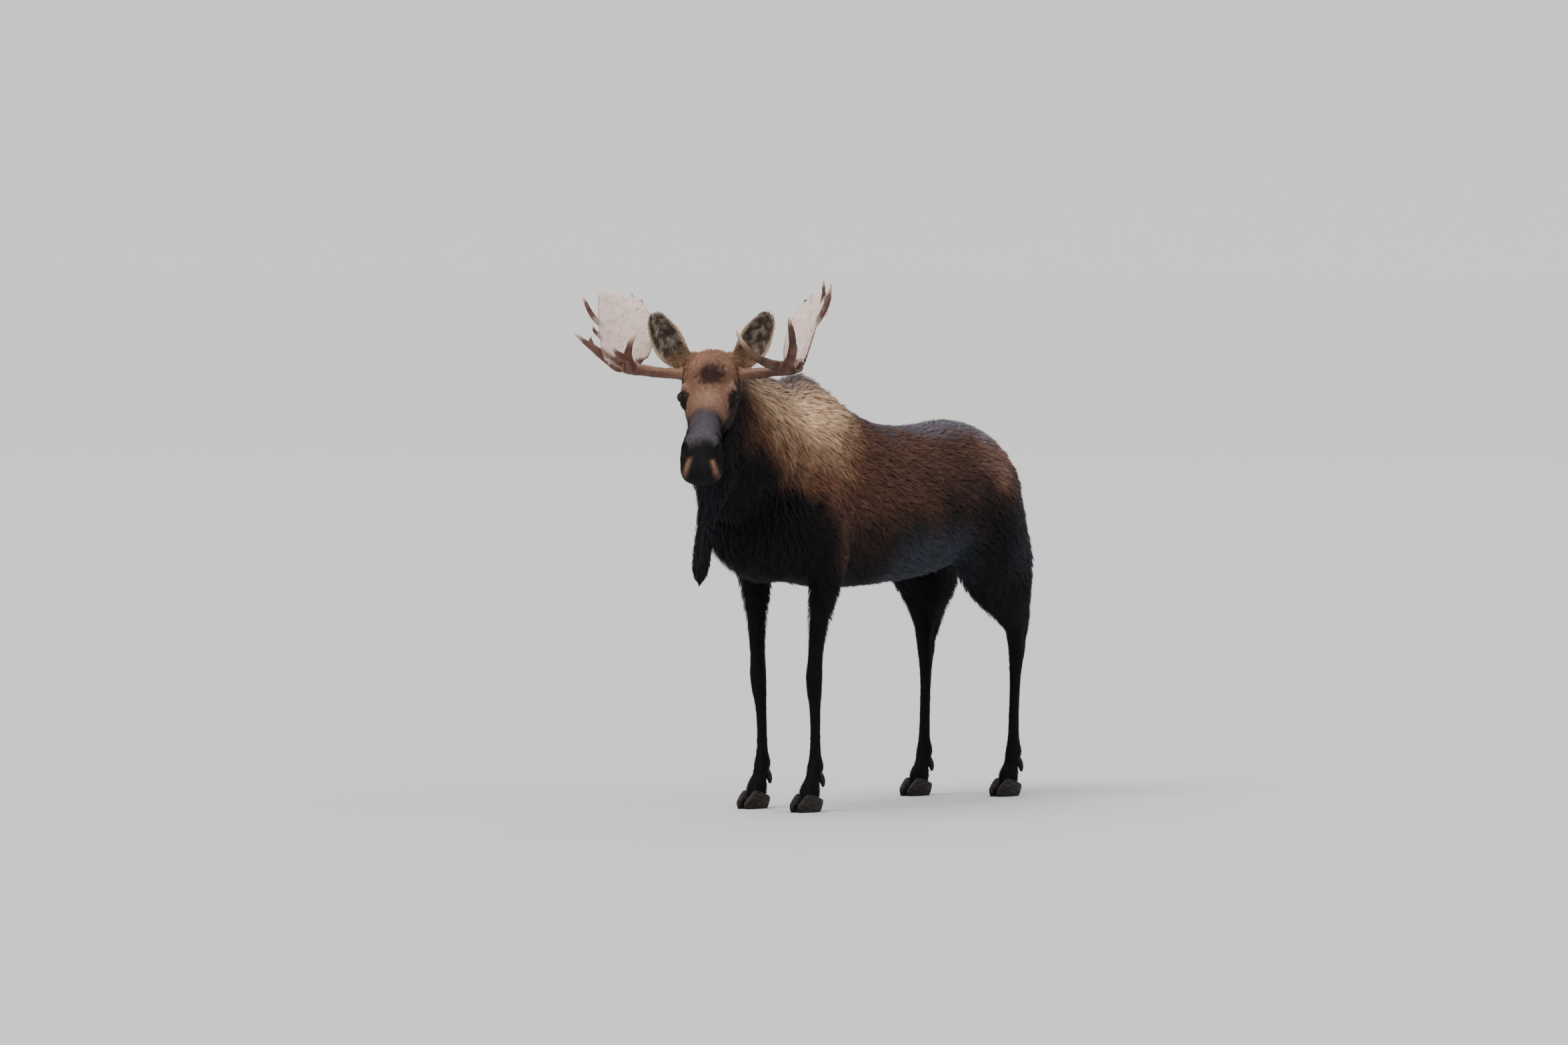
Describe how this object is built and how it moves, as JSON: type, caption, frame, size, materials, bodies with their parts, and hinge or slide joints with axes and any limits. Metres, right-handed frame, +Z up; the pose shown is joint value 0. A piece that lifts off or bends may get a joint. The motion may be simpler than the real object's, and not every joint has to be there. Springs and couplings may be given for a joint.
{
  "type": "moose",
  "caption": "Life-size still model of a bull moose, standing on four feet with its head turned to its left, for a museum floor.",
  "frame": {"origin": "middle of the model's underside, on the floor", "axes": "+Z up, the animal faces -Y, its left side is +X"},
  "size_m": [0.9394, 2.8904, 2.347],
  "materials": {
    "coat": "dark brown guard hair in matte layered tufts, tan on the shoulder",
    "antler": "dry bone, satin, pinkish cream palms and brown beams",
    "hoof": "worn dark horn, satin",
    "eye": "wet dark brown, glossy"
  },
  "bodies": {
    "root": {"hoof_fore_left_outer": "hoof", "dewclaw_fore_left_outer": "hoof", "hoof_fore_left_inner": "hoof", "dewclaw_fore_left_inner": "hoof", "hoof_fore_right_outer": "hoof", "dewclaw_fore_right_outer": "hoof", "hoof_fore_right_inner": "hoof", "dewclaw_fore_right_inner": "hoof", "hoof_hind_left_outer": "hoof", "dewclaw_hind_left_outer": "hoof", "hoof_hind_left_inner": "hoof", "dewclaw_hind_left_inner": "hoof", "hoof_hind_right_outer": "hoof", "dewclaw_hind_right_outer": "hoof", "hoof_hind_right_inner": "hoof", "dewclaw_hind_right_inner": "hoof", "bell": "coat", "ear_left": "coat", "ear_right": "coat", "eye_left": "eye", "eye_right": "eye", "head": "coat", "neck": "coat", "tail": "coat", "leg_fore_left": "coat", "leg_fore_right": "coat", "leg_hind_left": "coat", "leg_hind_right": "coat", "trunk": "coat", "antler_left_brow": "antler", "antler_left_palm": "antler", "antler_left_beam": "antler", "antler_right_brow": "antler", "antler_right_palm": "antler", "antler_right_beam": "antler"}
  },
  "joints": []
}
